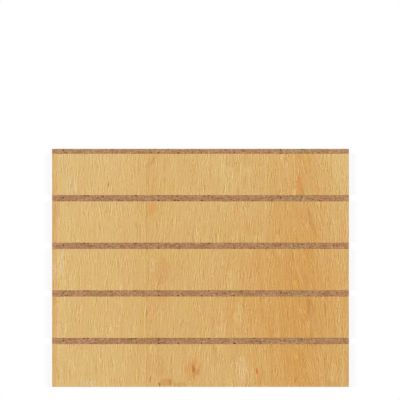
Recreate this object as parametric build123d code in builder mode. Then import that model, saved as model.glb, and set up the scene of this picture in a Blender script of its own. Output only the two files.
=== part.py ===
"""Slatwall panel: a faced fibreboard sheet with T-shaped display grooves.

The panel lies on its flat back with the display face up. X runs along the
grooves, Y runs up the panel as it would hang on a wall, and Z goes from the
back to the face. The origin is at the middle of the back. All sizes are in
millimetres.
"""

import os

from build123d import *

# Sheet
panel_width = 467.5  # along the grooves
slat_count = 5  # slats of facing between and below the grooves
groove_pitch = 75.0  # from one groove to the next
bottom_slat_height = 67.5  # lowest slat, from its groove down to the plain bottom edge

# Groove, cut through the face as a T
mouth_width = 9.5  # gap between two slats at the neck
lip_thickness = 6.0  # front lip that a hook grips
head_height = 22.0  # wide inner part of the T
head_depth = 6.0
head_corner_radius = 1.0  # left by the rounded tips of the cutter
web_thickness = 6.0  # board left behind the groove

# Edges
top_mouth_height = 7.5  # part of the top groove's mouth that the top edge leaves
edge_easing = 0.2  # light sanding along the long edges of every slat

panel_height = top_mouth_height + (slat_count - 1) * groove_pitch + bottom_slat_height
panel_thickness = web_thickness + head_depth + lip_thickness
top_edge = panel_height / 2
top_groove_centre = top_edge - top_mouth_height + mouth_width / 2
groove_centres = [top_groove_centre - groove_pitch * i for i in range(slat_count)]

# Outline of one groove: local X is across the groove, local Y is up from the back
with BuildSketch() as groove_outline:
    with Locations((0, web_thickness)):
        Rectangle(head_height, head_depth, align=(Align.CENTER, Align.MIN))
    fillet(groove_outline.vertices(), head_corner_radius)
    with Locations((0, panel_thickness)):
        Rectangle(mouth_width, lip_thickness + head_depth / 2, align=(Align.CENTER, Align.MAX))

# The whole sheet is one section drawn across the grooves and run along them.
# The top edge cuts through the uppermost groove, so that groove is open above.
with BuildPart() as grooved_panel:
    with BuildSketch(Plane.YZ.offset(-panel_width / 2)) as section:
        Rectangle(panel_height, panel_thickness, align=(Align.CENTER, Align.MIN))
        with Locations(*[(centre, 0) for centre in groove_centres]):
            add(groove_outline.sketch, mode=Mode.SUBTRACT)
    extrude(amount=panel_width)
    slat_edges = grooved_panel.edges().filter_by(Axis.X).group_by(Axis.Z)[-1]
    chamfer(slat_edges, length=edge_easing)

grooved_panel.part.label = "grooved_panel"

os.makedirs("parts", exist_ok=True)
export_step(grooved_panel.part, "parts/grooved_panel.step")
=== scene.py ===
"""Dresses a slatwall panel: beech facing, routed fibreboard grooves, sawn edges and a plain studio.

The panel lies on its back with the display face up. X runs along the grooves, Y runs up the panel as it
would hang on a wall, and Z goes from the back to the face. Sizes of the panel are in millimetres, and
meshes, lamps and the camera are in metres.
"""

import logging
import math
from collections.abc import Mapping, Sequence
from dataclasses import dataclass
from enum import Enum
from functools import partial, reduce

import bpy
import numpy as np
from mathutils import Color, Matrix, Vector, noise

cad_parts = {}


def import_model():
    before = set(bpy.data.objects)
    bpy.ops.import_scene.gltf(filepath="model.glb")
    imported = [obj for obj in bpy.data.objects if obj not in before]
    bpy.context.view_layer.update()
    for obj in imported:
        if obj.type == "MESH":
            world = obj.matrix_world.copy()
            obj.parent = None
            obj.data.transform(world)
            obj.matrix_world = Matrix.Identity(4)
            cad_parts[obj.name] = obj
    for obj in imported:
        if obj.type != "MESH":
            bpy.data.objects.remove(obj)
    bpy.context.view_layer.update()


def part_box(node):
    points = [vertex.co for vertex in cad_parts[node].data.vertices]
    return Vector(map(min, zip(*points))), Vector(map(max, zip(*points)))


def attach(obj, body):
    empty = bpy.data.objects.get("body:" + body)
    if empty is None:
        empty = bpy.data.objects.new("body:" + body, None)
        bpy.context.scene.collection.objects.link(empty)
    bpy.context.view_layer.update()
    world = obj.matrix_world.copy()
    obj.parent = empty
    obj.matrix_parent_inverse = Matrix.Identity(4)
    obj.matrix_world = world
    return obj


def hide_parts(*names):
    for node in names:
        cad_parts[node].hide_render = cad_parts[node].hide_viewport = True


LOG = logging.getLogger("grooved_panel")
MM = 0.001

Triple = tuple[float, float, float]
Colour = Triple
Pair = tuple[float, float]
Socket = bpy.types.NodeSocket
Value = Socket | float


def srgb(red: int, green: int, blue: int) -> Colour:
    """Turns a colour as a paint card gives it, each part from 0 to 255, into the linear one of shaders."""
    card = Color((red / 255, green / 255, blue / 255))
    return tuple(card.from_srgb_to_scene_linear())


class Surface(Enum):
    """What a stretch of the panel's skin is, in the order of its material slots."""

    FACE = 0
    GROOVE = 1
    EDGE = 2
    BACK = 3


# The mesh's steps round the section, in millimetres
MESH_STEPS = {Surface.FACE: 8.0, Surface.GROOVE: 2.0, Surface.EDGE: 3.0, Surface.BACK: 14.0}


class Maths(Enum):
    """What a Math or Vector Math node works out."""

    ADD = "ADD"
    SUBTRACT = "SUBTRACT"
    MULTIPLY = "MULTIPLY"
    DIVIDE = "DIVIDE"
    ABSOLUTE = "ABSOLUTE"
    MAXIMUM = "MAXIMUM"
    SINE = "SINE"
    WRAP = "WRAP"


class Blend(Enum):
    """How a Mix node puts one colour over another."""

    COVER = "MIX"
    MULTIPLY = "MULTIPLY"


# The Mix node's sockets for colours, which it has beside those for numbers and vectors
MIX_SHARE, MIX_FIRST, MIX_SECOND, MIX_RESULT = 0, 6, 7, 2


class Stain(Enum):
    """The colours that mark the beech here and there, and the dust in the grooves."""

    PALE = srgb(228, 198, 148)
    CREAM = srgb(225, 187, 118)
    ROSE = srgb(224, 180, 120)
    YELLOW = srgb(224, 172, 74)
    ORANGE = srgb(216, 151, 75)
    TAN = srgb(202, 146, 76)
    BROWN = srgb(182, 108, 34)
    RUST = srgb(198, 108, 34)
    DARK = srgb(140, 88, 28)
    DUST = srgb(96, 60, 32)


@dataclass(frozen=True)
class Mark:
    """A fleck, streak or blot.

    Attributes:
        stain: its colour.
        strength: how far it covers what is below it, from 0 to 1.
        x: its middle across the panel, in millimetres.
        y: its middle up the panel, in millimetres.
        breadth: its breadth across the grain, in millimetres.
        length: its length along the grain, in millimetres.
        turn: how far it is turned from the panel's Y, anticlockwise, in degrees.
        rim: the share of its radius over which it fades in.
    """

    stain: Stain
    strength: float
    x: float
    y: float
    breadth: float
    length: float
    turn: float = 0.0
    rim: float = 0.5


@dataclass(frozen=True)
class Layer:
    """One layer of random patches or spots in a finish.

    Attributes:
        size: how large a patch is along X, Y and Z, or how far apart the spots are, in millimetres.
        strength: how far it reaches to either side of zero.
        detail: how many finer layers the patches have.
        shift: moves the pattern, so that two layers differ.
        rise: the noise at which a patch begins to cover and covers in full, or how far from its middle a
            spot ends and is whole, as a share of size.
    """

    size: Triple
    strength: float = 1.0
    detail: float = 2.0
    shift: float = 0.0
    rise: Pair = (0.0, 1.0)


@dataclass(frozen=True)
class Gloss:
    """How a surface takes the light.

    Attributes:
        roughness: how dull its gloss is, from 0 to 1.
        shine: how strong its gloss is, where 0.5 is a plain varnish.
        relief: how deep its fine relief is, in millimetres.
    """

    roughness: float
    shine: float
    relief: float


class NodeBench:
    """Lays out the shader nodes of one material or world and hands back their sockets."""

    def __init__(self, owner: bpy.types.Material | bpy.types.World) -> None:
        """Starts with an empty node tree.

        Args:
            owner: the new material or world.
        """
        owner.use_nodes = True
        self.owner = owner
        self.tree = owner.node_tree
        self.tree.nodes.clear()

    def feed(self, socket: Socket, value: object) -> None:
        """Links a socket to an input, or sets the input to a plain value.

        Args:
            socket: the input to feed.
            value: a socket, a number, a vector or a colour of three parts.
        """
        if isinstance(value, bpy.types.NodeSocket):
            self.tree.links.new(value, socket)
        elif socket.type == "RGBA":
            socket.default_value = (*value, 1.0)
        else:
            socket.default_value = value

    def node(self, kind: str, feeds: Mapping[int | str, object], **settings: object) -> bpy.types.Node:
        """Adds a node.

        Args:
            kind: the node's type name in Blender.
            feeds: what goes into its inputs, by their numbers or names.
            **settings: properties to set on it.

        Returns:
            The new node.
        """
        made = self.tree.nodes.new(kind)
        for name, value in settings.items():
            setattr(made, name, value)
        for name, value in feeds.items():
            self.feed(made.inputs[name], value)
        return made

    def maths(self, operation: Maths, *parts: Value) -> Socket:
        """Works out a number from one or more others."""
        return self.node("ShaderNodeMath", dict(enumerate(parts)), operation=operation.value).outputs[0]

    def total(self, *parts: Value) -> Socket:
        """Adds numbers up."""
        return reduce(partial(self.maths, Maths.ADD), parts)

    def product(self, *parts: Value) -> Socket:
        """Multiplies numbers."""
        return reduce(partial(self.maths, Maths.MULTIPLY), parts)

    def distance(self, value: Value, middle: float) -> Socket:
        """Measures how far a number is from a middle, to either side."""
        return self.maths(Maths.ABSOLUTE, self.maths(Maths.SUBTRACT, value, middle))

    def about_zero(self, value: Socket, reach: float = 1.0) -> Socket:
        """Spreads a number from 0 to 1 evenly about zero, as far as reach."""
        return self.product(self.maths(Maths.SUBTRACT, value, 0.5), 2.0 * reach)

    def about_half(self, value: Socket) -> Socket:
        """Brings a number from -1 to 1 to one from 0 to 1."""
        return self.total(self.product(value, 0.5), 0.5)

    def vector(self, operation: Maths, *parts: object) -> Socket:
        """Works out a vector from others."""
        made = self.node("ShaderNodeVectorMath", dict(enumerate(parts)), operation=operation.value)
        return made.outputs[0]

    def place(self) -> Socket:
        """Gives the place on the panel, in millimetres."""
        where = self.node("ShaderNodeTexCoord", {}).outputs["Object"]
        return self.vector(Maths.MULTIPLY, where, (1 / MM,) * 3)

    def split(self, vector: Socket) -> tuple[Socket, ...]:
        """Takes a vector apart into its X, Y and Z."""
        return tuple(self.node("ShaderNodeSeparateXYZ", {0: vector}).outputs)

    def flat(self, x: Value, y: Value) -> Socket:
        """Makes a vector of an X and a Y, with no Z."""
        return self.node("ShaderNodeCombineXYZ", {0: x, 1: y}).outputs[0]

    def scaled(self, place: Socket, layer: Layer) -> Socket:
        """Measures a place in a layer's patches instead of millimetres, and moves it by the layer's shift."""
        return self.vector(Maths.ADD, self.vector(Maths.DIVIDE, place, layer.size), (layer.shift,) * 3)

    def noise(self, place: Socket, layer: Layer) -> Socket:
        """Gives a layer's soft random patches as a number about 0.5."""
        feeds = {"Vector": self.scaled(place, layer), "Scale": 1.0, "Detail": layer.detail}
        return self.node("ShaderNodeTexNoise", feeds, noise_dimensions="3D").outputs[0]

    def patches(self, place: Socket, layer: Layer) -> Socket:
        """Gives a layer's soft random patches as a number about zero, as strong as the layer is."""
        return self.about_zero(self.noise(place, layer), layer.strength)

    def covering(self, place: Socket, layer: Layer) -> Socket:
        """Gives a layer's soft random patches as a number from 0, between them, to 1."""
        return self.fade(self.noise(place, layer), *layer.rise)

    def spots(self, place: Socket, layer: Layer) -> tuple[Socket, Socket]:
        """Gives a layer's random spots, one in each cell of a loose grid.

        Args:
            place: where on the panel, in millimetres.
            layer: the layer.

        Returns:
            How far a spot covers the place, and that spot's own random number, both from 0 to 1.
        """
        feeds = {"Vector": self.scaled(place, layer), "Scale": 1.0}
        made = self.node("ShaderNodeTexVoronoi", feeds, voronoi_dimensions="3D")
        luck = self.split(made.outputs["Color"])[0]
        return self.fade(made.outputs["Distance"], *layer.rise), luck

    def fade(self, value: Value, start: float, end: float, low: float = 0.0, high: float = 1.0) -> Socket:
        """Goes smoothly from low to high as a number goes from start to end, either way round."""
        feeds = {"Value": value, "From Min": start, "From Max": end, "To Min": low, "To Max": high}
        return self.node("ShaderNodeMapRange", feeds, interpolation_type="SMOOTHSTEP").outputs[0]

    def wrapped(self, value: Socket, middle: float, pitch: float) -> Socket:
        """Measures a number from the nearest of many middles, of which there is one every pitch."""
        near = self.maths(Maths.WRAP, value, middle + pitch / 2, middle - pitch / 2)
        return self.maths(Maths.SUBTRACT, near, middle)

    def profile(self, value: Socket, stops: Sequence[Pair]) -> Socket:
        """Reads a number off a line through a few points.

        Args:
            value: where to read, in the unit of the points' first numbers.
            stops: the points in order, each a place and a height from -1 to 1.

        Returns:
            The height's socket.
        """
        start, end = stops[0][0], stops[-1][0]
        share = self.maths(Maths.DIVIDE, self.maths(Maths.SUBTRACT, value, start), end - start)
        made = self.node("ShaderNodeValToRGB", {0: share})
        elements = made.color_ramp.elements
        while len(elements) < len(stops):
            elements.new(1.0)
        for element, (where, height) in zip(elements, stops):
            element.position = (where - start) / (end - start)
            element.color = (*(height / 2 + 0.5,) * 3, 1.0)
        return self.about_zero(made.outputs[0])

    def mix(self, share: Value, first: object, second: object, blend: Blend = Blend.COVER) -> Socket:
        """Puts a second colour over a first.

        Args:
            share: how much of the second there is, kept from 0 to 1.
            first: the colour below.
            second: the colour above.
            blend: how the second goes over the first.

        Returns:
            The mixed colour's socket.
        """
        feeds = {MIX_SHARE: share, MIX_FIRST: first, MIX_SECOND: second}
        settings = {"data_type": "RGBA", "blend_type": blend.value, "clamp_factor": True}
        return self.node("ShaderNodeMix", feeds, **settings).outputs[MIX_RESULT]

    def tinted(self, colour: Socket, share: Socket, tints: tuple[Colour, Colour]) -> Socket:
        """Multiplies a colour by a tint between two, the second one where share is 1."""
        return self.mix(1.0, colour, self.mix(share, *tints), Blend.MULTIPLY)

    def marked(self, colour: Socket, place: Socket, marks: Sequence[Mark]) -> Socket:
        """Lays soft-edged oval marks over a colour, the later ones on top.

        Args:
            colour: the colour below the marks.
            place: where on the panel, in millimetres, with no Z.
            marks: the marks.

        Returns:
            The marked colour's socket.
        """
        for mark in marks:
            feeds = {
                "Vector": place,
                "Location": (mark.x, mark.y, 0.0),
                "Rotation": (0.0, 0.0, math.radians(mark.turn)),
                "Scale": (mark.breadth / 2, mark.length / 2, 1.0),
            }
            oval = self.node("ShaderNodeMapping", feeds, vector_type="TEXTURE")
            ball = self.node("ShaderNodeTexGradient", {0: oval.outputs[0]}, gradient_type="SPHERICAL")
            cover = self.fade(ball.outputs["Fac"], 0.0, mark.rim, 0.0, mark.strength)
            colour = self.mix(cover, colour, mark.stain.value)
        return colour

    def finish(self, colour: Socket, tone: Socket, gloss: Gloss, roughness: Socket | None = None) -> None:
        """Makes the surface shader.

        Args:
            colour: the surface's colour.
            tone: its fine height, from 0 to 1.
            gloss: how it takes the light.
            roughness: how dull its gloss is from place to place, where it isn't the same all over.
        """
        bump = self.node("ShaderNodeBump", {"Distance": gloss.relief * MM, "Height": tone})
        feeds = {
            "Base Color": colour,
            "Roughness": gloss.roughness if roughness is None else roughness,
            "Specular IOR Level": gloss.shine,
            "Normal": bump.outputs[0],
        }
        shader = self.node("ShaderNodeBsdfPrincipled", feeds)
        self.node("ShaderNodeOutputMaterial", {"Surface": shader.outputs[0]})


@dataclass(frozen=True)
class Leaf:
    """One leaf of the beech facing, from its left joint to the next leaf.

    Attributes:
        left: where the leaf starts across the panel, in millimetres from its middle.
        depths: how deep its colour is, as pairs of a share of the leaf's breadth and a depth from 0 to 1.
        leans: how far its grain leans to the right for each millimetre up, as pairs of the same kind.
        seam: how clearly its left joint shows, from 0 to 1.
    """

    left: float
    depths: tuple[Pair, ...]
    leans: tuple[Pair, ...]
    seam: float


@dataclass(frozen=True)
class SeamLine:
    """A thin line along a joint between two leaves.

    Attributes:
        off: how far its middle is to the right of the joint, in millimetres.
        reach: how far from its middle it ends, in millimetres.
        core: how far from its middle it is whole, in millimetres.
        colour: its colour.
    """

    off: float
    reach: float
    core: float
    colour: Colour


# Single marks on the beech, slat by slat, the later ones over the earlier ones
MARKS = (
    # Top slat
    Mark(Stain.PALE, 0.32, -204, 130, 30, 46),
    Mark(Stain.PALE, 0.28, -168, 122, 16, 32),
    Mark(Stain.BROWN, 0.95, -144.6, 131, 2.6, 14),
    Mark(Stain.TAN, 0.60, -77, 166, 6, 27, -38),
    Mark(Stain.ORANGE, 0.40, -56, 163, 9, 34, -6),
    Mark(Stain.ORANGE, 0.50, -57, 137, 5, 18),
    Mark(Stain.BROWN, 0.25, 42, 138, 1.4, 13, -38),
    Mark(Stain.TAN, 0.22, 47, 168, 26, 30),
    Mark(Stain.TAN, 0.28, 72, 170, 26, 34),
    Mark(Stain.TAN, 0.24, 72, 134, 14, 44),
    Mark(Stain.ORANGE, 0.35, 136, 175, 14, 20),
    Mark(Stain.PALE, 0.40, 147, 118, 7, 18),
    Mark(Stain.ORANGE, 0.45, 70, 138, 5, 16),
    Mark(Stain.ORANGE, 0.28, 107, 160, 4, 22),
    Mark(Stain.ORANGE, 0.10, 125, 154, 20, 34),
    Mark(Stain.ORANGE, 0.60, 157, 173, 11, 10),
    Mark(Stain.ORANGE, 0.60, 171, 169, 13, 11),
    Mark(Stain.ORANGE, 0.90, 156, 128, 14, 54, 2),
    Mark(Stain.TAN, 0.50, 159, 120, 9, 26),
    Mark(Stain.ORANGE, 0.22, 185, 123, 14, 18),
    # Second slat
    Mark(Stain.TAN, 0.30, -225, 92, 12, 40),
    Mark(Stain.TAN, 0.35, -230, 84, 8, 50),
    Mark(Stain.TAN, 0.30, -98, 99, 10, 20),
    Mark(Stain.TAN, 0.32, 74, 100, 12, 18),
    Mark(Stain.CREAM, 0.55, 91, 44, 18, 20),
    Mark(Stain.CREAM, 0.50, 121, 44, 11, 18),
    Mark(Stain.TAN, 0.30, 203, 65, 9, 30),
    Mark(Stain.ORANGE, 0.60, -76, 94, 15, 30, -12),
    Mark(Stain.TAN, 0.30, -67, 93, 5, 8),
    Mark(Stain.TAN, 0.24, -99, 58, 10, 40),
    Mark(Stain.ORANGE, 0.45, 6, 61, 5, 27),
    Mark(Stain.ORANGE, 0.35, 55, 92, 6, 30),
    Mark(Stain.ORANGE, 0.35, 73, 67, 8, 28),
    Mark(Stain.ORANGE, 0.40, 154, 91, 5, 11),
    Mark(Stain.ORANGE, 0.32, 132, 80, 4, 16),
    Mark(Stain.TAN, 0.80, 175, 73, 8, 66, 17),
    Mark(Stain.ORANGE, 0.60, 181, 54, 7, 24, 17),
    Mark(Stain.ORANGE, 0.28, 198, 86, 4, 22),
    # Third slat
    Mark(Stain.PALE, 0.60, -219, 9, 12, 48),
    Mark(Stain.YELLOW, 0.25, -206, 3, 8, 18),
    Mark(Stain.TAN, 0.25, -60, -4, 28, 56),
    Mark(Stain.PALE, 0.30, -77, 2, 10, 32),
    Mark(Stain.PALE, 0.35, -230, -3, 8, 44),
    Mark(Stain.CREAM, 0.45, 48, -20, 20, 44),
    Mark(Stain.CREAM, 0.45, 123, 24, 13, 20),
    Mark(Stain.TAN, 0.30, -60, -18, 18, 18),
    Mark(Stain.BROWN, 0.22, -48, -5, 2.4, 26),
    Mark(Stain.ORANGE, 0.50, -45, -19, 4, 6),
    Mark(Stain.ORANGE, 0.40, -61, -24, 6, 9),
    Mark(Stain.TAN, 0.35, 141, 1, 13, 48),
    Mark(Stain.ROSE, 0.45, 156, -11, 4, 46, 16),
    Mark(Stain.TAN, 0.50, 191, -22, 3, 26, 6),
    Mark(Stain.ROSE, 0.45, 195, -18, 2.6, 34, 6),
    Mark(Stain.TAN, 0.60, 166, -19, 9, 28, 10),
    Mark(Stain.ORANGE, 0.25, 83, 11, 13, 17),
    # Fourth slat
    Mark(Stain.ORANGE, 0.35, -60, -48, 25, 13),
    Mark(Stain.ORANGE, 0.25, -82, -66, 7, 18),
    Mark(Stain.TAN, 0.40, -230, -50, 8, 22),
    Mark(Stain.CREAM, 0.50, 60, -74, 18, 44),
    Mark(Stain.TAN, 0.65, 174, -64, 16, 48, 4),
    Mark(Stain.BROWN, 0.35, 170, -60, 6, 40),
    Mark(Stain.YELLOW, 0.50, 156, -58, 5, 10),
    Mark(Stain.ROSE, 0.45, 171, -89, 7, 20, 10),
    Mark(Stain.TAN, 0.50, 180, -88, 10, 26),
    Mark(Stain.TAN, 0.30, 197, -88, 9, 22),
    Mark(Stain.TAN, 0.90, 196, -62, 5, 46, 2),
    Mark(Stain.RUST, 0.35, 179, -65, 3, 9),
    Mark(Stain.ROSE, 0.50, 157, -67, 5, 18, 6),
    Mark(Stain.TAN, 0.35, 140, -78, 6, 40),
    # Bottom slat, with a small knot and its swirl left of the middle
    Mark(Stain.CREAM, 0.60, -76, -128, 15, 24),
    Mark(Stain.TAN, 0.32, -64, -147, 17, 24),
    Mark(Stain.PALE, 0.32, -175, -182, 30, 16),
    Mark(Stain.ORANGE, 0.40, -13, -160, 32, 50),
    Mark(Stain.ORANGE, 0.40, -13, -162, 20, 36),
    Mark(Stain.TAN, 0.75, -6, -163, 14, 15, -35),
    Mark(Stain.BROWN, 0.76, -11.2, -160, 7.5, 20, 3),
    Mark(Stain.ORANGE, 0.60, -8, -145, 10, 16),
    Mark(Stain.BROWN, 0.35, 0, -155, 3, 14, -24),
    Mark(Stain.TAN, 0.60, -8, -168, 4, 18, -42),
    Mark(Stain.TAN, 0.45, -17, -175, 4, 16, -55),
    Mark(Stain.RUST, 0.90, -79, -175, 2.6, 15),
    Mark(Stain.DARK, 0.90, -64.4, -184, 3.6, 8),
    Mark(Stain.TAN, 0.60, -54, -180, 28, 16),
    Mark(Stain.BROWN, 0.55, -48, -180, 4, 16, 4),
    Mark(Stain.BROWN, 0.30, -44, -172, 2, 18),
    Mark(Stain.TAN, 0.35, -64, -162, 22, 26),
    Mark(Stain.TAN, 0.50, -32, -184, 34, 11),
    Mark(Stain.TAN, 0.35, 24, -138, 9, 36),
    Mark(Stain.ORANGE, 0.45, 32, -134, 3, 20),
    Mark(Stain.ROSE, 0.55, 64, -160, 26, 60),
    Mark(Stain.PALE, 0.22, 67, -158, 17, 50),
    Mark(Stain.ORANGE, 0.35, 84, -146, 8, 44),
    Mark(Stain.RUST, 1.00, 89, -163, 4, 13),
    Mark(Stain.ORANGE, 0.45, 95, -171, 18, 40),
    Mark(Stain.BROWN, 0.32, 91.5, -176, 3, 28),
    Mark(Stain.ORANGE, 0.35, 184, -150, 14, 44),
    Mark(Stain.TAN, 0.40, 231, -150, 7, 80),
    Mark(Stain.TAN, 0.35, 208, -183, 28, 14),
    Mark(Stain.YELLOW, 0.75, 151, -141, 7, 13),
    Mark(Stain.TAN, 0.80, 161, -146, 5, 40, 8),
)


@dataclass(frozen=True)
class BeechFacing:
    """The beech on the slats: leaves of slightly different colour, short flecks, fibres and a few stains.

    Attributes:
        half_width: half the panel's width, in millimetres.
        half_height: half the panel's height, in millimetres.
        groove_pitch: from one slat to the next, in millimetres.
        slat_middle: the Y of one slat's middle, in millimetres.
        pale: the palest beech.
        deep: the deepest beech.
        leaves: the leaves from left to right.
        joint_step: how broad the step in colour at a joint is, in millimetres.
        seam_lines: the lines along each joint, pale sapwood beside a thin dark one.
        seam_cover: how far those lines cover the beech at a joint that shows clearly.
        drift: how the depth changes up the panel, as pairs of a share of its height and a change.
        right_side: where the panel's right side, which is livelier, begins and is reached, in millimetres.
        drift_gain: how strong the drift is on the left and on the right.
        streak_gain: the same of the streaks.
        figure_gain: the same of the fibres, flecks and ridges.
        wander: how the grain strays sideways, in millimetres.
        streaks: long deeper and paler streaks.
        patches: deeper and paler patches.
        hue: where the wood is yellower.
        hues: what its colour is multiplied by where it is rosier and where it is yellower.
        fibres: fine fibres.
        lines: long fine lines.
        short_flecks: short spindles along the grain.
        tiny_flecks: shorter ones.
        ridge_spacing: from one fine ridge of the grain to the next, in millimetres.
        sway: how the ridges bend, in millimetres.
        swell: how the ridges come and go.
        lively: where the fibres, flecks and ridges are strongest.
        calm: how strong they are where they are weakest.
        tints: what the colour is multiplied by where they are darkest and palest.
        ragged_across: how far the edges of marks follow the fibres sideways, in millimetres.
        ragged_along: the same along the grain.
        marks: single marks.
        gloss: how the beech takes the light.
        gleam: what the palest fibres add to the roughness.
    """

    half_width: float
    half_height: float
    groove_pitch: float
    slat_middle: float
    pale: Colour = srgb(223, 189, 124)
    deep: Colour = srgb(210, 153, 74)
    leaves: tuple[Leaf, ...] = (
        Leaf(-233.75, ((0.0, 0.57), (1.0, 0.48)), ((0.0, 0.0), (1.0, 0.0)), 0.0),
        Leaf(-227.0, ((0.0, 0.12), (0.3, 0.24), (0.6, 0.24), (1.0, 0.42)), ((0.0, 0.0), (1.0, 0.03)), 0.3),
        Leaf(
            -85.5,
            ((0.0, 0.53), (0.2, 0.43), (0.5, 0.42), (0.75, 0.60), (1.0, 0.84)),
            ((0.0, 0.12), (0.3, 0.07), (0.55, 0.0), (1.0, -0.03)),
            0.7,
        ),
        Leaf(
            150.0,
            ((0.0, 0.86), (0.3, 0.80), (0.65, 0.58), (1.0, 0.48)),
            ((0.0, -0.24), (0.35, -0.20), (0.6, -0.02), (1.0, 0.0)),
            0.15,
        ),
    )
    joint_step: float = 0.4
    seam_lines: tuple[SeamLine, ...] = (
        SeamLine(-2.0, 1.7, 0.5, pale),
        SeamLine(0.4, 1.1, 0.3, Stain.TAN.value),
    )
    seam_cover: float = 0.6
    drift: tuple[Pair, ...] = ((0.0, 0.02), (0.3, 0.14), (0.55, 0.08), (0.8, -0.12), (1.0, -0.28))
    right_side: Pair = (-60.0, 110.0)
    drift_gain: Pair = (0.25, 1.15)
    streak_gain: Pair = (0.4, 1.5)
    figure_gain: Pair = (0.92, 1.3)
    wander: Layer = Layer((45, 90, 50), 1.8, 1.0)
    streaks: Layer = Layer((9, 110, 50), 0.22, 1.0, 3.1)
    patches: Layer = Layer((26, 60, 50), 0.16, 2.0, 7.7)
    hue: Layer = Layer((16, 34, 50), detail=1.0, shift=53.0, rise=(0.3, 0.7))
    hues: tuple[Colour, Colour] = ((1.01, 0.985, 1.02), (1.0, 1.02, 0.95))
    fibres: Layer = Layer((0.5, 16, 50), 0.4, 0.0, 11.3)
    lines: Layer = Layer((0.55, 70, 50), 0.65, 0.0, 17.9)
    short_flecks: Layer = Layer((1.5, 10, 50), 0.5, rise=(0.52, 0.34))
    tiny_flecks: Layer = Layer((1.1, 2.8, 50), 0.95, shift=23.0, rise=(0.52, 0.34))
    ridge_spacing: float = 3.6
    sway: Layer = Layer((11, 34, 50), 2.6, 1.0, 37.0)
    swell: Layer = Layer((6, 13, 50), 1.55, 0.0, 41.0)
    lively: Layer = Layer((17, 20, 50), detail=1.0, shift=61.0, rise=(0.36, 0.66))
    calm: float = 0.5
    tints: tuple[Colour, Colour] = ((0.82, 0.70, 0.46), (1.18, 1.30, 1.54))
    ragged_across: Layer = Layer((3, 9, 50), 1.6, 2.0, 29.0)
    ragged_along: Layer = Layer((2, 12, 50), 6.0, 2.0, 31.0)
    marks: tuple[Mark, ...] = MARKS
    gloss: Gloss = Gloss(0.46, 0.3, 0.03)
    gleam: float = -0.04

    def across(self, pairs: Sequence[Sequence[Pair]]) -> list[Pair]:
        """Lists how a property of the leaves runs across the panel.

        Args:
            pairs: each leaf's pairs of a share of its breadth and a value.

        Returns:
            Pairs of an X in millimetres and a value, with a step at each joint.
        """
        ends = [leaf.left - self.joint_step for leaf in self.leaves[1:]] + [self.half_width]
        stops = []
        for leaf, end, own in zip(self.leaves, ends, pairs):
            stops += [(leaf.left + share * (end - leaf.left), value) for share, value in own]
        return stops

    def flecks(self, bench: NodeBench, grain: Socket, layer: Layer) -> Socket:
        """Short spindles along the grain, some paler and some darker.

        Args:
            bench: the material's nodes.
            grain: the place across and along the grain.
            layer: the spindles' layer.

        Returns:
            A number about zero, up where a fleck is pale.
        """
        spindle, luck = bench.spots(grain, layer)
        luck = bench.about_zero(luck)
        luck = bench.product(luck, bench.maths(Maths.ABSOLUTE, luck))
        return bench.product(spindle, luck, layer.strength)

    def ridges(self, bench: NodeBench, grain: Socket, across: Socket) -> Socket:
        """Fine ridges along the grain, which bend and come and go.

        Args:
            bench: the material's nodes.
            grain: the place across and along the grain.
            across: the place across the grain.

        Returns:
            A number about zero, up where a ridge is pale.
        """
        bent = bench.total(across, bench.patches(grain, self.sway))
        phase = bench.product(bent, 2 * math.pi / self.ridge_spacing)
        return bench.product(bench.maths(Maths.SINE, phase), bench.patches(grain, self.swell))

    def material(self) -> bpy.types.Material:
        """Makes the beech.

        Returns:
            The material.
        """
        bench = NodeBench(bpy.data.materials.new("beech_facing"))
        place = bench.place()
        x, y, _ = bench.split(place)

        # The grain leans a little, by a different amount in each part of a leaf
        up = bench.wrapped(y, self.slat_middle, self.groove_pitch)
        lean = bench.product(bench.profile(x, self.across([leaf.leans for leaf in self.leaves])), up)
        across = bench.maths(Maths.SUBTRACT, bench.total(x, bench.patches(place, self.wander)), lean)
        grain = bench.flat(across, y)

        # Depth of colour: the leaves, a drift up the panel, streaks and patches
        depth = bench.profile(x, self.across([leaf.depths for leaf in self.leaves]))
        heights = [((2 * share - 1) * self.half_height, change) for share, change in self.drift]
        drift = bench.product(bench.profile(y, heights), bench.fade(x, *self.right_side, *self.drift_gain))
        streaks = bench.patches(grain, self.streaks)
        streaks = bench.product(streaks, bench.fade(x, *self.right_side, *self.streak_gain))
        depth = bench.total(depth, drift, streaks, bench.patches(place, self.patches))
        colour = bench.mix(depth, self.pale, self.deep)
        colour = bench.tinted(colour, bench.covering(grain, self.hue), self.hues)

        # Fibres, flecks and ridges, all finer than the streaks and stronger in some places than in others
        figure = bench.total(
            bench.patches(grain, self.fibres),
            bench.patches(grain, self.lines),
            self.flecks(bench, grain, self.short_flecks),
            self.flecks(bench, grain, self.tiny_flecks),
            self.ridges(bench, grain, across),
        )
        liveliness = bench.total(self.calm, bench.covering(grain, self.lively))
        figure = bench.product(figure, liveliness, bench.fade(x, *self.right_side, *self.figure_gain))
        tone = bench.about_half(figure)

        # Joints, none at the panel's left edge
        for leaf in self.leaves[1:]:
            for line in self.seam_lines:
                off = bench.distance(x, leaf.left + line.off)
                cover = bench.fade(off, line.reach, line.core, 0.0, self.seam_cover * leaf.seam)
                colour = bench.mix(cover, colour, line.colour)

        # Single marks, with edges that follow the fibres
        ragged = bench.flat(
            bench.total(x, bench.patches(place, self.ragged_across)),
            bench.total(y, bench.patches(place, self.ragged_along)),
        )
        colour = bench.tinted(bench.marked(colour, ragged, self.marks), tone, self.tints)
        roughness = bench.total(self.gloss.roughness, bench.product(figure, self.gleam))
        bench.finish(colour, tone, self.gloss, roughness)
        return bench.owner


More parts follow.
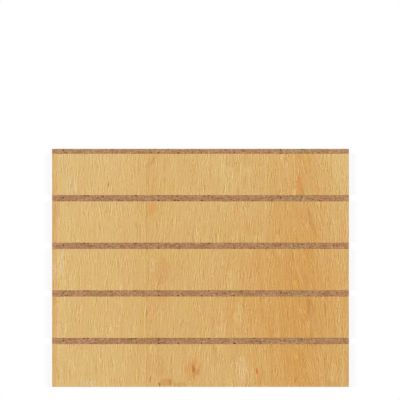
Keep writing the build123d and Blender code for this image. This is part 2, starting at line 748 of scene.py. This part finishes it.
@dataclass(frozen=True)
class RoutedCore:
    """Raw fibreboard where the cutter went: mottled brown with dark specks.

    Attributes:
        groove_pitch: from one groove to the next, in millimetres.
        groove_middle: the Y of one groove's middle, in millimetres.
        groove_floor: the Z of the grooves' floor, in millimetres.
        base: the colour of most of it.
        warm: the colour of its redder patches.
        redder: where those patches are.
        dull: the colour of its greyer stretch.
        dull_stretch: where that stretch runs from and to across the panel, in millimetres.
        dull_edge: how its edge strays, in millimetres.
        dull_core: how far from its middle it is at its greyest, in millimetres.
        dull_cover: how far it covers the rest there.
        bundles: paler and darker bundles of fibres.
        clouds: paler and darker stretches.
        flakes: paler and darker flakes of dust.
        tints: what the colour is multiplied by where these are darkest and palest.
        specks: dark specks in every groove, as pairs of an X and a place above the groove's middle.
        speck_size: their breadth and height, in millimetres.
        speck_rise: how far above the groove's floor they end and are whole, in millimetres.
        speck_edge: how far their edges stray, in millimetres.
        gloss: how the core takes the light.
    """

    groove_pitch: float
    groove_middle: float
    groove_floor: float
    base: Colour = srgb(181, 139, 96)
    warm: Colour = srgb(186, 137, 104)
    redder: Layer = Layer((16, 9, 9), shift=2.0, rise=(0.40, 0.66))
    dull: Colour = srgb(178, 145, 102)
    dull_stretch: Pair = (124.0, 182.0)
    dull_edge: Layer = Layer((9, 5, 5), 16.0)
    dull_core: float = 8.0
    dull_cover: float = 0.65
    bundles: Layer = Layer((3.4, 3.0, 3.0), 0.85, 1.5, 4.0)
    clouds: Layer = Layer((13, 9, 9), 0.3, 1.0, 19.0)
    flakes: Layer = Layer((3.4, 2.8, 2.8), 0.75, shift=5.0, rise=(0.6, 0.2))
    tints: tuple[Colour, Colour] = ((0.42, 0.25, 0.0), (1.58, 1.75, 2.0))
    specks: tuple[Pair, ...] = (
        (-183, 4.0), (-177, 4.2), (-102, 4.0), (-66, 4.2), (-66, -3.6), (-35, -3.8),
        (2, -3.8), (13, 4.0), (53, -3.8), (126, 1.0), (160, 2.0), (-216, 0.5),
    )
    speck_size: Pair = (3.4, 2.8)
    speck_rise: Pair = (0.9, 0.4)
    speck_edge: float = 0.8
    gloss: Gloss = Gloss(0.85, 0.2, 0.12)

    def material(self) -> bpy.types.Material:
        """Makes the routed core.

        Returns:
            The material.
        """
        bench = NodeBench(bpy.data.materials.new("routed_core"))
        place = bench.place()
        x, y, z = bench.split(place)
        start, end = self.dull_stretch
        off = bench.total(bench.distance(x, (start + end) / 2), bench.patches(place, self.dull_edge))
        colour = bench.mix(bench.covering(place, self.redder), self.base, self.warm)
        dull = bench.fade(off, (end - start) / 2, self.dull_core, 0.0, self.dull_cover)
        colour = bench.mix(dull, colour, self.dull)

        # Fibre bundles and dust, both paler and darker than the rest
        bundles = bench.patches(place, self.bundles)
        clouds = bench.patches(place, self.clouds)
        flake, luck = bench.spots(place, self.flakes)
        flakes = bench.product(flake, bench.about_zero(luck, self.flakes.strength))
        tone = bench.about_half(bench.total(bundles, clouds, flakes))
        colour = bench.tinted(colour, tone, self.tints)

        # Dark specks on the groove's floor, most of them near the slats
        on_floor = bench.fade(z, *(self.groove_floor + rise for rise in self.speck_rise))
        up = bench.wrapped(y, self.groove_middle, self.groove_pitch)
        ragged = bench.flat(bench.total(x, bench.about_zero(tone, self.speck_edge)), up)
        specks = [Mark(Stain.DUST, 1.0, *speck, *self.speck_size) for speck in self.specks]
        colour = bench.mix(on_floor, colour, bench.marked(colour, ragged, specks))
        bench.finish(colour, tone, self.gloss)
        return bench.owner


@dataclass(frozen=True)
class SawnEdge:
    """A sawn edge of the board: denser near both skins, with saw marks and the thin line of the facing.

    Attributes:
        thickness: the board's thickness, in millimetres.
        middle: the colour of the soft middle.
        skin: the colour near the skins.
        dense: how far from its middle the board begins to be denser and is densest, as shares of its
            thickness.
        saw_marks: upright marks of the saw.
        fibres: paler and darker fibres.
        tints: what the colour is multiplied by where these are darkest and palest.
        facing: the thickness of the facing, in millimetres.
        line: the colour of the facing's edge.
        line_blur: how far that line's border reaches to either side, in millimetres.
        gloss: how the edge takes the light.
    """

    thickness: float
    middle: Colour = srgb(193, 153, 110)
    skin: Colour = srgb(160, 120, 80)
    dense: Pair = (0.22, 0.5)
    saw_marks: Layer = Layer((1.1, 1.1, 30), 1.0, 2.0, 3.0)
    fibres: Layer = Layer((1.6, 1.6, 0.7), 1.4, 3.0, 8.0)
    tints: tuple[Colour, Colour] = ((0.78, 0.76, 0.72), (1.22, 1.24, 1.28))
    facing: float = 0.6
    line: Colour = srgb(214, 168, 104)
    line_blur: float = 0.05
    gloss: Gloss = Gloss(0.8, 0.2, 0.08)

    def material(self) -> bpy.types.Material:
        """Makes the sawn edge.

        Returns:
            The material.
        """
        bench = NodeBench(bpy.data.materials.new("sawn_edge"))
        place = bench.place()
        _, _, z = bench.split(place)
        off_middle = bench.distance(z, self.thickness / 2)
        dense = bench.fade(off_middle, *(self.thickness * share for share in self.dense))
        colour = bench.mix(dense, self.middle, self.skin)
        figure = bench.total(bench.patches(place, self.saw_marks), bench.patches(place, self.fibres))
        tone = bench.about_half(figure)
        colour = bench.tinted(colour, tone, self.tints)
        border = self.thickness - self.facing
        on_facing = bench.fade(z, border - self.line_blur, border + self.line_blur)
        bench.finish(bench.mix(on_facing, colour, self.line), tone, self.gloss)
        return bench.owner


@dataclass(frozen=True)
class SandedBack:
    """The plain back: fibreboard as it leaves the sander.

    Attributes:
        base: the colour of most of it.
        cloud: the colour of its darker clouds.
        clouds: where those clouds are.
        strokes: long strokes of the sander.
        fibres: paler and darker fibres.
        tints: what the colour is multiplied by where these are darkest and palest.
        dust: the colour of single darker fibres.
        dark_fibres: where those fibres may be.
        dark_luck: the random number from which such a fibre shows and at which it is darkest.
        gloss: how the back takes the light.
    """

    base: Colour = srgb(188, 150, 108)
    cloud: Colour = srgb(181, 143, 101)
    clouds: Layer = Layer((60, 34, 30), detail=3.0, rise=(0.38, 0.66))
    strokes: Layer = Layer((90, 0.9, 10), 1.0, 2.0, 6.0)
    fibres: Layer = Layer((1.4, 1.4, 1.4), 1.2, 3.0, 13.0)
    tints: tuple[Colour, Colour] = ((0.86, 0.85, 0.82), (1.14, 1.15, 1.18))
    dust: Colour = srgb(126, 90, 56)
    dark_fibres: Layer = Layer((5.5, 2.2, 2.2), 0.5, shift=2.0, rise=(0.28, 0.1))
    dark_luck: Pair = (0.7, 0.9)
    gloss: Gloss = Gloss(0.75, 0.25, 0.03)

    def material(self) -> bpy.types.Material:
        """Makes the sanded back.

        Returns:
            The material.
        """
        bench = NodeBench(bpy.data.materials.new("sanded_back"))
        place = bench.place()
        colour = bench.mix(bench.covering(place, self.clouds), self.base, self.cloud)
        figure = bench.total(bench.patches(place, self.strokes), bench.patches(place, self.fibres))
        tone = bench.about_half(figure)
        colour = bench.tinted(colour, tone, self.tints)
        fibre, luck = bench.spots(place, self.dark_fibres)
        dark = bench.product(fibre, bench.fade(luck, *self.dark_luck, 0.0, self.dark_fibres.strength))
        bench.finish(bench.mix(dark, colour, self.dust), tone, self.gloss)
        return bench.owner


@dataclass(frozen=True)
class Corner:
    """A square corner of the panel's section.

    Attributes:
        y: its place up the panel, in millimetres.
        z: its height above the back, in millimetres.
        radius: how far it is rounded, in millimetres.
        surface: what the stretch from here to the next corner is.
    """

    y: float
    z: float
    radius: float
    surface: Surface

    @property
    def place(self) -> np.ndarray:
        """Its Y and Z."""
        return np.array((self.y, self.z))

    def towards(self, other: "Corner") -> tuple[np.ndarray, float]:
        """Gives the way to another corner.

        Args:
            other: the other corner.

        Returns:
            The direction, of length one, and the distance in millimetres.
        """
        way = other.place - self.place
        length = float(np.linalg.norm(way))
        return way / length, length


@dataclass(frozen=True)
class SkinPoint:
    """A point of the section's outline, where the mesh has a row of vertices.

    Attributes:
        y: its place up the panel, in millimetres.
        z: its height above the back, in millimetres.
        inward: the way into the board, as a Y and a Z of length one.
        surface: what the stretch from here to the next point is.
        rounded: whether that stretch is part of a rounding.
        routed: whether the cutter's roughness shows here.
        arris: the number of the slat edge that the point is on, or -1.
    """

    y: float
    z: float
    inward: Pair
    surface: Surface
    rounded: bool = False
    routed: bool = False
    arris: int = -1


@dataclass
class GroovedBoard:
    """The panel itself: a faced board with T-shaped grooves, the top one cut open by the top edge.

    All its sizes are in millimetres.

    Attributes:
        width: along the grooves.
        height: up the panel.
        thickness: from the back to the face.
        slat_count: slats between and below the grooves.
        groove_pitch: from one groove to the next.
        mouth_width: the gap between two slats.
        top_mouth_height: the part of the top groove's mouth that the top edge leaves.
        head_height: the wide inner part of a groove.
        head_depth: its depth.
        lip_thickness: the front lip over it.
        head_corner_radius: left by the rounded tips of the cutter.
        arris_radius: rounding of the slats' edges.
        lip_radius: rounding of the lips' inner edges.
        end_easing: easing of the sawn ends' edges.
        rounding_steps: the mesh's steps round a rounding.
        column: the mesh's step along the grooves.
        roughness: how far the cutter's roughness reaches.
        fibre_length: how long its fibres are.
        fibre_breadth: how broad they are.
        fibre_noise: how fast their finer layers weaken, how much finer each is, and how many there are.
        chip_length: about how long a chip in a slat's edge is.
        chip_row: how far apart in the noise the chips of two edges are.
        chip_plane: where in the noise they all are.
        chip_onset: the noise above which there is a chip.
        chip_growth: how much deeper a chip is for each unit of noise above that.
        bare_depth: how deep a chip is where it shows the core.
    """

    width: float
    height: float
    thickness: float
    slat_count: int = 5
    groove_pitch: float = 75.0
    mouth_width: float = 9.5
    top_mouth_height: float = 7.5
    head_height: float = 22.0
    head_depth: float = 6.0
    lip_thickness: float = 6.0
    head_corner_radius: float = 1.0
    arris_radius: float = 0.25
    lip_radius: float = 0.3
    end_easing: float = 0.2
    rounding_steps: int = 3
    column: float = 2.4
    roughness: float = 0.07
    fibre_length: float = 3.4
    fibre_breadth: float = 2.2
    fibre_noise: tuple[float, float, int] = (0.8, 2.0, 3)
    chip_length: float = 4.3
    chip_row: float = 17.3
    chip_plane: float = 0.5
    chip_onset: float = 0.42
    chip_growth: float = 1.54
    bare_depth: float = 0.12

    @property
    def groove_middles(self) -> list[float]:
        """The Y of each groove's middle, from the top down."""
        top = self.height / 2 - self.top_mouth_height + self.mouth_width / 2
        return [top - self.groove_pitch * i for i in range(self.slat_count)]

    @property
    def groove_floor(self) -> float:
        """The Z of the grooves' floor."""
        return self.thickness - self.lip_thickness - self.head_depth

    def corners(self) -> list[Corner]:
        """Lists the section's corners, anticlockwise as seen from +X.

        Returns:
            The corners, from the back's lower edge, up the back, down the face and back to the start.
        """
        top, bottom = self.height / 2, -self.height / 2
        floor, lip = self.groove_floor, self.thickness - self.lip_thickness
        head, mouth = self.head_height / 2, self.mouth_width / 2
        deep, ease = self.head_corner_radius, self.end_easing
        found = [
            Corner(bottom, 0.0, ease, Surface.BACK),
            Corner(top, 0.0, ease, Surface.EDGE),
            Corner(top, floor, ease, Surface.GROOVE),
        ]
        for number, middle in enumerate(self.groove_middles):
            if number > 0:
                found += [
                    Corner(middle + mouth, self.thickness, self.arris_radius, Surface.GROOVE),
                    Corner(middle + mouth, lip, self.lip_radius, Surface.GROOVE),
                    Corner(middle + head, lip, deep, Surface.GROOVE),
                    Corner(middle + head, floor, deep, Surface.GROOVE),
                ]
            found += [
                Corner(middle - head, floor, deep, Surface.GROOVE),
                Corner(middle - head, lip, deep, Surface.GROOVE),
                Corner(middle - mouth, lip, self.lip_radius, Surface.GROOVE),
                Corner(middle - mouth, self.thickness, self.arris_radius, Surface.FACE),
            ]
        found.append(Corner(bottom, self.thickness, ease, Surface.EDGE))
        return found

    def rounding(self, before: Corner, here: Corner, after: Corner, arris: int) -> list[SkinPoint]:
        """Lists the points of a corner's rounding.

        Args:
            before: the corner before it.
            here: the corner.
            after: the corner after it.
            arris: the number of the slat edge that it is, or -1.

        Returns:
            The points in order.
        """
        arrive, _ = before.towards(here)
        leave, _ = here.towards(after)
        turns_left = arrive[0] * leave[1] - arrive[1] * leave[0] > 0
        centre = here.place + (leave - arrive) * here.radius
        points = []
        for step in range(self.rounding_steps + 1):
            angle = math.pi / 2 * step / self.rounding_steps
            spoke = arrive * math.sin(angle) - leave * math.cos(angle)
            inward = tuple(-spoke if turns_left else spoke)
            rounded = step < self.rounding_steps
            surface = Surface.FACE if arris >= 0 and rounded else here.surface
            points.append(SkinPoint(*(centre + spoke * here.radius), inward, surface, rounded, False, arris))
        return points

    def run(self, here: Corner, after: Corner) -> list[SkinPoint]:
        """Lists the points between the roundings of two corners.

        Args:
            here: the first corner.
            after: the next one.

        Returns:
            The points in order.
        """
        leave, length = here.towards(after)
        span = length - here.radius - after.radius
        count = max(1, math.ceil(span / MESH_STEPS[here.surface]))
        start = here.place + leave * here.radius
        inward = (-leave[1], leave[0])
        routed = here.surface is Surface.GROOVE
        places = [start + leave * (span * step / count) for step in range(1, count)]
        return [SkinPoint(*place, inward, here.surface, routed=routed) for place in places]

    def outline(self) -> list[SkinPoint]:
        """Walks the section's outline with its roundings.

        Returns:
            The points in order. The last one joins the first.
        """
        corners = self.corners()
        points: list[SkinPoint] = []
        arris = -1
        for number, here in enumerate(corners):
            before, after = corners[number - 1], corners[(number + 1) % len(corners)]
            meets_face = Surface.FACE in (before.surface, here.surface)
            arris += meets_face
            points += self.rounding(before, here, after, arris if meets_face else -1)
            points += self.run(here, after)
        return points

    def stations(self) -> list[float]:
        """Lists where the mesh has a section along the grooves.

        Returns:
            The places along X, in order.
        """
        inner = self.width / 2 - self.end_easing
        count = math.ceil(2 * inner / self.column)
        middle = [inner * (2 * i / count - 1) for i in range(count + 1)]
        return [-self.width / 2, *middle, self.width / 2]

    def dent(self, x: float, point: SkinPoint) -> float:
        """Says how far the skin lies inside the true section.

        Args:
            x: the place along the grooves.
            point: the point of the section.

        Returns:
            The distance into the board.
        """
        if point.arris >= 0:
            chance = noise.noise(Vector((x / self.chip_length, point.arris * self.chip_row, self.chip_plane)))
            return self.chip_growth * max(0.0, chance - self.chip_onset)
        if point.routed:
            aside, above = point.y / self.fibre_breadth, point.z / self.fibre_breadth
            fibre = noise.fractal(Vector((x / self.fibre_length, aside, above)), *self.fibre_noise)
            return self.roughness * max(-1.0, min(1.0, fibre))
        return 0.0

    def vertices(self, points: list[SkinPoint], stations: list[float]) -> tuple[list[Triple], set[int]]:
        """Places the mesh's vertices, one section after the other.

        Args:
            points: the points of the section.
            stations: the sections' places along X.

        Returns:
            The vertices, in metres, and the numbers of those where a chip shows the core.
        """
        placed, bare = [], set()
        for x in stations:
            inset = self.end_easing if x in (stations[0], stations[-1]) else 0.0
            for point in points:
                dent = self.dent(x, point)
                if point.arris >= 0 and dent > self.bare_depth:
                    bare.add(len(placed))
                y = point.y + point.inward[0] * (dent + inset)
                z = point.z + point.inward[1] * (dent + inset)
                placed.append((x * MM, y * MM, z * MM))
        return placed, bare

    def build(self) -> bpy.types.Object:
        """Makes the board's mesh, closed at both ends.

        Returns:
            The board, with its four material slots still empty.
        """
        points, stations = self.outline(), self.stations()
        rows, last = len(points), len(stations) - 1
        vertices, bare = self.vertices(points, stations)
        faces, surfaces, smooth = [], [], []
        for near in range(0, last * rows, rows):
            far = near + rows
            for row, point in enumerate(points):
                beside = (row + 1) % rows
                face = (near + row, near + beside, far + beside, far + row)
                chipped = point.rounded and not bare.isdisjoint(face)
                faces.append(face)
                surfaces.append(Surface.GROOVE if chipped else point.surface)
                smooth.append(point.rounded or point.surface is Surface.GROOVE)
        faces.append(tuple(reversed(range(rows))))
        faces.append(tuple(range(last * rows, (last + 1) * rows)))
        surfaces += [Surface.EDGE, Surface.EDGE]
        smooth += [False, False]

        mesh = bpy.data.meshes.new("grooved_board")
        mesh.from_pydata(vertices, [], faces)
        mesh.polygons.foreach_set("material_index", [surface.value for surface in surfaces])
        mesh.polygons.foreach_set("use_smooth", smooth)
        mesh.validate()
        mesh.update()
        board = bpy.data.objects.new("grooved_board", mesh)
        bpy.context.scene.collection.objects.link(board)
        return board

    def dress(self, board: bpy.types.Object) -> None:
        """Gives each part of the board its finish.

        Args:
            board: the board that build made.
        """
        pitch, top_groove = self.groove_pitch, self.groove_middles[0]
        finishes = {
            Surface.FACE: BeechFacing(self.width / 2, self.height / 2, pitch, top_groove - pitch / 2),
            Surface.GROOVE: RoutedCore(pitch, top_groove, self.groove_floor),
            Surface.EDGE: SawnEdge(self.thickness),
            Surface.BACK: SandedBack(),
        }
        for surface in Surface:
            board.data.materials.append(finishes[surface].material())


@dataclass(frozen=True)
class Studio:
    """A pale floor under two long soft lamps that face each other along the grooves.

    Attributes:
        floor_size: the floor's side, in metres.
        floor_gap: how far the floor lies below the panel's back, in metres.
        lamp_distance: from the panel's middle to a lamp, in metres.
        lamp_slant: how far a lamp stands off the vertical, in degrees.
        lamp_size: a lamp's length and breadth, in metres.
        lamp_power: a lamp's power, in watts.
        walls_paint: the colour of the studio's walls.
        fill: how bright the walls are to the panel.
        walls_glow: how bright they look.
        floor_paint: the floor's colour.
        floor_lift: how much of the floor the camera sees as plain white.
        floor_glow: how bright that white is.
    """

    floor_size: float = 40.0
    floor_gap: float = 0.0003
    lamp_distance: float = 9.0
    lamp_slant: float = 30.0
    lamp_size: Pair = (4.0, 0.55)
    lamp_power: float = 363.0
    walls_paint: Colour = (1.0, 1.0, 1.0)
    fill: float = 0.17
    walls_glow: float = 1.0
    floor_paint: Colour = (0.8, 0.8, 0.8)
    floor_lift: float = 0.78
    floor_glow: float = 1.08

    def lamps(self) -> None:
        """Hangs the two lamps, each turned to the panel's middle."""
        slant = math.radians(self.lamp_slant)
        for name, side in (("left_lamp", -1), ("right_lamp", 1)):
            data = bpy.data.lights.new(name, "AREA")
            data.shape = "RECTANGLE"
            data.size_y, data.size = self.lamp_size
            data.energy = self.lamp_power
            lamp = bpy.data.objects.new(name, data)
            reach = Vector((side * math.sin(slant), 0.0, math.cos(slant))) * self.lamp_distance
            lamp.location = reach
            lamp.rotation_euler = reach.to_track_quat("Z", "Y").to_euler()
            bpy.context.scene.collection.objects.link(lamp)

    def seen_directly(self, bench: NodeBench) -> Socket:
        """Tells rays that end in the picture from those that carry light to the panel.

        Args:
            bench: the nodes to add to.

        Returns:
            1 for a ray from the camera, a mirror or glass, and 0 for the rest.
        """
        path = bench.node("ShaderNodeLightPath", {})
        rays = ("Is Camera Ray", "Is Glossy Ray", "Is Transmission Ray")
        return reduce(partial(bench.maths, Maths.MAXIMUM), [path.outputs[ray] for ray in rays])

    def walls(self) -> None:
        """Makes the pale walls, which fill the shadows a little."""
        bench = NodeBench(bpy.data.worlds.new("studio_walls"))
        strength = bench.fade(self.seen_directly(bench), 0.0, 1.0, self.fill, self.walls_glow)
        shade = bench.node("ShaderNodeBackground", {"Color": self.walls_paint, "Strength": strength})
        bench.node("ShaderNodeOutputWorld", {"Surface": shade.outputs[0]})
        bpy.context.scene.world = bench.owner

    def floor(self) -> bpy.types.Object:
        """Lays the floor, white to the camera but for the panel's soft shadow.

        Returns:
            The floor.
        """
        half = self.floor_size / 2
        mesh = bpy.data.meshes.new("studio_floor")
        square = [(-half, -half, 0.0), (half, -half, 0.0), (half, half, 0.0), (-half, half, 0.0)]
        mesh.from_pydata(square, [], [(0, 1, 2, 3)])
        floor = bpy.data.objects.new("studio_floor", mesh)
        floor.location.z = -self.floor_gap
        bpy.context.scene.collection.objects.link(floor)
        bench = NodeBench(bpy.data.materials.new("pale_floor"))
        paint = bench.node("ShaderNodeBsdfDiffuse", {"Color": self.floor_paint})
        glow = bench.node("ShaderNodeEmission", {"Strength": self.floor_glow})
        lift = bench.product(self.seen_directly(bench), self.floor_lift)
        both = bench.node("ShaderNodeMixShader", {0: lift, 1: paint.outputs[0], 2: glow.outputs[0]})
        bench.node("ShaderNodeOutputMaterial", {"Surface": both.outputs[0]})
        mesh.materials.append(bench.owner)
        return floor

    def build(self) -> bpy.types.Object:
        """Sets up the studio and the plain view of its colours.

        Returns:
            The floor.
        """
        self.lamps()
        self.walls()
        floor = self.floor()
        bpy.context.scene.view_settings.view_transform = "Standard"
        return floor


@dataclass(frozen=True)
class OverheadCamera:
    """A camera that looks straight down with no perspective, as a flat product picture is taken.

    Attributes:
        picture_side: the picture's side, in pixels.
        left: the panel's left edge in the photograph, in pixels.
        right: its right edge, in pixels.
        top: its top edge, in pixels.
        bottom: its bottom edge, in pixels.
        height: how high the camera hangs, in metres.
    """

    picture_side: float = 400.0
    left: float = 52.13
    right: float = 348.87
    top: float = 148.82
    bottom: float = 386.9
    height: float = 1.2

    def build(self, low: Vector, high: Vector) -> bpy.types.Object:
        """Hangs the camera so that the panel fills the same part of the picture as in the photograph.

        Args:
            low: the panel's lowest corner, in metres.
            high: its highest corner, in metres.

        Returns:
            The camera.
        """
        scale = (high.y - low.y) / (self.bottom - self.top)
        data = bpy.data.cameras.new("overhead_camera")
        data.type = "ORTHO"
        data.ortho_scale = self.picture_side * scale
        camera = bpy.data.objects.new("overhead_camera", data)
        middle = (low + high) / 2
        aside = (self.picture_side / 2 - (self.left + self.right) / 2) * scale
        above = ((self.top + self.bottom) / 2 - self.picture_side / 2) * scale
        camera.location = (middle.x + aside, middle.y + above, self.height)
        bpy.context.scene.collection.objects.link(camera)
        bpy.context.scene.camera = camera
        return camera


def main() -> None:
    """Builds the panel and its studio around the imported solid."""
    logging.basicConfig(level=logging.INFO, format="%(message)s")
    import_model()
    low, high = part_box("grooved_panel")
    width, height, thickness = ((high - low) / MM)[:]
    panel = GroovedBoard(width, height, thickness)
    board = panel.build()
    panel.dress(board)
    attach(board, "root")
    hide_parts("grooved_panel")
    LOG.info("%s: %d faces", board.name, len(board.data.polygons))
    floor = Studio().build()
    LOG.info("%s: %.4f m below the panel", floor.name, -floor.location.z)
    camera = OverheadCamera().build(low, high)
    LOG.info("%s: %.4f m across", camera.name, camera.data.ortho_scale)


if __name__ == "__main__":
    main()
